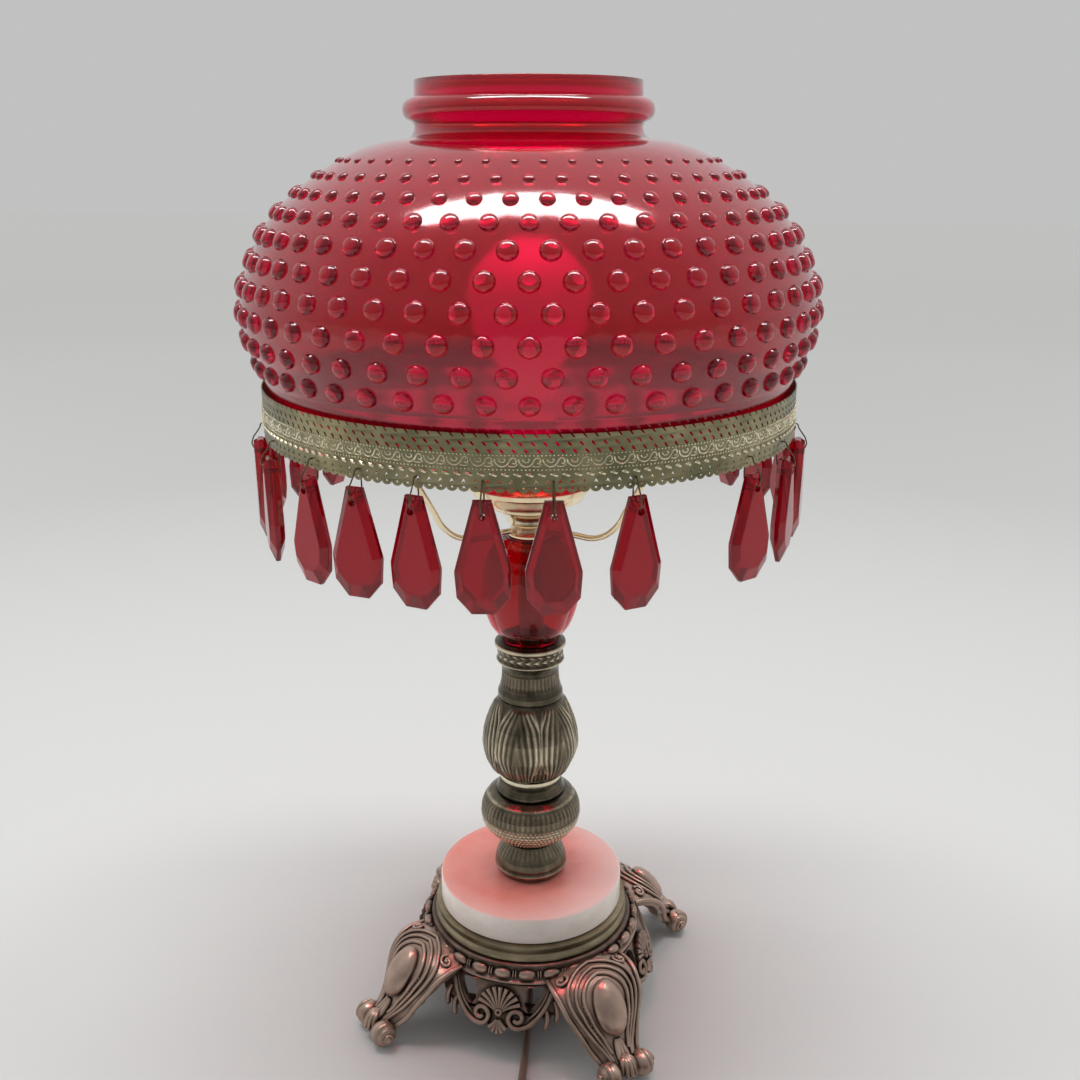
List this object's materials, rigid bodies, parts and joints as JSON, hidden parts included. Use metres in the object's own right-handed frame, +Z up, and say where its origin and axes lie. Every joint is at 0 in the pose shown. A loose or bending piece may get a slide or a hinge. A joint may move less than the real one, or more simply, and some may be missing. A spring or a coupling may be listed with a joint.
{
  "type": "hobnail glass table lamp",
  "caption": "Table lamp with a ruby hobnail glass shade, hanging cut glass prisms, a glass and bronze column, a marble slab and a footed brass base.",
  "frame": {"origin": "on the floor under the lamp's axis", "axes": "+Z up along the lamp's pipe; a shell panel of the base faces -Y"},
  "size_m": [0.2776, 0.3024, 0.4877],
  "materials": {
    "antique_brass": "aged brown brass, worn bright on the high points",
    "olive_brass": "olive gold, satin",
    "bright_brass": "polished, lightly tarnished",
    "bronze": "dark green bronze with gold high points",
    "steel": "plain",
    "aluminium": "spun",
    "marble": "polished white and grey marble",
    "ruby_glass": "clear ruby red",
    "frosted_glass": "frosted white",
    "brown_cord": "brown plastic cord",
    "black_plastic": "moulded black",
    "fibre": "brown insulating fibre"
  },
  "bodies": {
    "lamp": {"base_casting": "antique_brass", "base_washer": "steel", "base_nut": "steel", "cord_bushing": "black_plastic", "lamp_pipe": "steel", "marble_seat_ring": "olive_brass", "marble_slab": "marble", "column_foot": "bronze", "column_knop": "bronze", "column_collar": "bronze", "column_vase": "bronze", "column_neck": "bronze", "column_cap": "bronze", "glass_font": "ruby_glass", "holder_hub": "bright_brass", "holder_arm_1": "bright_brass", "holder_arm_2": "bright_brass", "holder_arm_3": "bright_brass", "shade_ring": "olive_brass", "burner_cup": "bright_brass", "prism_band": "olive_brass", "socket_nut": "steel", "socket_cap": "bright_brass", "socket_shell": "bright_brass", "socket_insulator": "fibre", "socket_core": "black_plastic", "socket_screw_shell": "bright_brass", "bulb_cap": "aluminium", "bulb_glass": "frosted_glass", "cord_run": "brown_cord", "cord_coil": "brown_cord", "cord_tie": "black_plastic", "cord_tail": "brown_cord", "plug": "brown_cord"},
    "shade": {"hobnail_shade": "ruby_glass"},
    "knob": {"switch_knob": "black_plastic"},
    "prism_01": {"prism_01": "ruby_glass"},
    "prism_02": {"prism_02": "ruby_glass"},
    "prism_03": {"prism_03": "ruby_glass"},
    "prism_04": {"prism_04": "ruby_glass"},
    "prism_05": {"prism_05": "ruby_glass"},
    "prism_06": {"prism_06": "ruby_glass"},
    "prism_07": {"prism_07": "ruby_glass"},
    "prism_08": {"prism_08": "ruby_glass"},
    "prism_09": {"prism_09": "ruby_glass"},
    "prism_10": {"prism_10": "ruby_glass"},
    "prism_11": {"prism_11": "ruby_glass"},
    "prism_12": {"prism_12": "ruby_glass"},
    "prism_13": {"prism_13": "ruby_glass"},
    "prism_14": {"prism_14": "ruby_glass"},
    "prism_15": {"prism_15": "ruby_glass"},
    "prism_16": {"prism_16": "ruby_glass"},
    "prism_17": {"prism_17": "ruby_glass"},
    "prism_18": {"prism_18": "ruby_glass"},
    "prism_19": {"prism_19": "ruby_glass"},
    "prism_20": {"prism_20": "ruby_glass"},
    "prism_21": {"prism_21": "ruby_glass"},
    "prism_22": {"prism_22": "ruby_glass"},
    "prism_23": {"prism_23": "ruby_glass"},
    "prism_24": {"prism_24": "ruby_glass"}
  },
  "joints": [
    {"name": "shade_lift", "type": "slide", "parent": "lamp", "child": "shade", "axis": [0, 0, 1], "range_m": [0, 0.1]},
    {"name": "knob_turn", "type": "hinge", "parent": "lamp", "child": "knob", "pos_m": [0, 0, 0.3092], "axis": [0.9063, 0.4226, 0], "continuous": true},
    {"name": "prism_01_swing", "type": "hinge", "parent": "lamp", "child": "prism_01", "pos_m": [-0.11949, -0.0537, 0.3238], "axis": [-0.4099, 0.9121, 0], "range_deg": [-20, 60]},
    {"name": "prism_02_swing", "type": "hinge", "parent": "lamp", "child": "prism_02", "pos_m": [-0.09781, -0.08715, 0.3238], "axis": [-0.6652, 0.7466, 0], "range_deg": [-20, 60]},
    {"name": "prism_03_swing", "type": "hinge", "parent": "lamp", "child": "prism_03", "pos_m": [-0.06708, -0.11252, 0.3238], "axis": [-0.859, 0.512, 0], "range_deg": [-20, 60]},
    {"name": "prism_04_swing", "type": "hinge", "parent": "lamp", "child": "prism_04", "pos_m": [-0.04113, -0.12437, 0.3238], "axis": [-0.9494, 0.314, 0], "range_deg": [-20, 60]},
    {"name": "prism_05_swing", "type": "hinge", "parent": "lamp", "child": "prism_05", "pos_m": [-0.01324, -0.13033, 0.3238], "axis": [-0.9949, 0.1011, 0], "range_deg": [-20, 60]},
    {"name": "prism_06_swing", "type": "hinge", "parent": "lamp", "child": "prism_06", "pos_m": [0.01528, -0.13011, 0.3238], "axis": [-0.9932, -0.1167, 0], "range_deg": [-20, 60]},
    {"name": "prism_07_swing", "type": "hinge", "parent": "lamp", "child": "prism_07", "pos_m": [0.04308, -0.12371, 0.3238], "axis": [-0.9444, -0.3289, 0], "range_deg": [-20, 60]},
    {"name": "prism_08_swing", "type": "hinge", "parent": "lamp", "child": "prism_08", "pos_m": [0.07363, -0.10835, 0.3238], "axis": [-0.8271, -0.5621, 0], "range_deg": [-20, 60]},
    {"name": "prism_09_swing", "type": "hinge", "parent": "lamp", "child": "prism_09", "pos_m": [0.11534, -0.06211, 0.3238], "axis": [-0.4741, -0.8805, 0], "range_deg": [-20, 60]},
    {"name": "prism_10_swing", "type": "hinge", "parent": "lamp", "child": "prism_10", "pos_m": [0.12749, -0.03014, 0.3238], "axis": [-0.23, -0.9732, 0], "range_deg": [-20, 60]},
    {"name": "prism_11_swing", "type": "hinge", "parent": "lamp", "child": "prism_11", "pos_m": [0.13065, 0.00959, 0.3238], "axis": [0.0732, -0.9973, 0], "range_deg": [-20, 60]},
    {"name": "prism_12_swing", "type": "hinge", "parent": "lamp", "child": "prism_12", "pos_m": [0.12371, 0.04308, 0.3238], "axis": [0.3289, -0.9444, 0], "range_deg": [-20, 60]},
    {"name": "prism_13_swing", "type": "hinge", "parent": "lamp", "child": "prism_13", "pos_m": [0.10835, 0.07363, 0.3238], "axis": [0.5621, -0.8271, 0], "range_deg": [-20, 60]},
    {"name": "prism_14_swing", "type": "hinge", "parent": "lamp", "child": "prism_14", "pos_m": [0.08984, 0.09534, 0.3238], "axis": [0.7278, -0.6858, 0], "range_deg": [-20, 60]},
    {"name": "prism_15_swing", "type": "hinge", "parent": "lamp", "child": "prism_15", "pos_m": [0.06211, 0.11534, 0.3238], "axis": [0.8805, -0.4741, 0], "range_deg": [-20, 60]},
    {"name": "prism_16_swing", "type": "hinge", "parent": "lamp", "child": "prism_16", "pos_m": [0.03014, 0.12749, 0.3238], "axis": [0.9732, -0.23, 0], "range_deg": [-20, 60]},
    {"name": "prism_17_swing", "type": "hinge", "parent": "lamp", "child": "prism_17", "pos_m": [0.00183, 0.13099, 0.3238], "axis": [0.9999, -0.014, 0], "range_deg": [-20, 60]},
    {"name": "prism_18_swing", "type": "hinge", "parent": "lamp", "child": "prism_18", "pos_m": [-0.03214, 0.127, 0.3238], "axis": [0.9694, 0.2453, 0], "range_deg": [-20, 60]},
    {"name": "prism_19_swing", "type": "hinge", "parent": "lamp", "child": "prism_19", "pos_m": [-0.06391, 0.11435, 0.3238], "axis": [0.8729, 0.4879, 0], "range_deg": [-20, 60]},
    {"name": "prism_20_swing", "type": "hinge", "parent": "lamp", "child": "prism_20", "pos_m": [-0.08715, 0.09781, 0.3238], "axis": [0.7466, 0.6652, 0], "range_deg": [-20, 60]},
    {"name": "prism_21_swing", "type": "hinge", "parent": "lamp", "child": "prism_21", "pos_m": [-0.10949, 0.07192, 0.3238], "axis": [0.549, 0.8358, 0], "range_deg": [-20, 60]},
    {"name": "prism_22_swing", "type": "hinge", "parent": "lamp", "child": "prism_22", "pos_m": [-0.12437, 0.04113, 0.3238], "axis": [0.314, 0.9494, 0], "range_deg": [-20, 60]},
    {"name": "prism_23_swing", "type": "hinge", "parent": "lamp", "child": "prism_23", "pos_m": [-0.13033, 0.01324, 0.3238], "axis": [0.1011, 0.9949, 0], "range_deg": [-20, 60]},
    {"name": "prism_24_swing", "type": "hinge", "parent": "lamp", "child": "prism_24", "pos_m": [-0.12931, -0.02094, 0.3238], "axis": [-0.1599, 0.9871, 0], "range_deg": [-20, 60]}
  ]
}
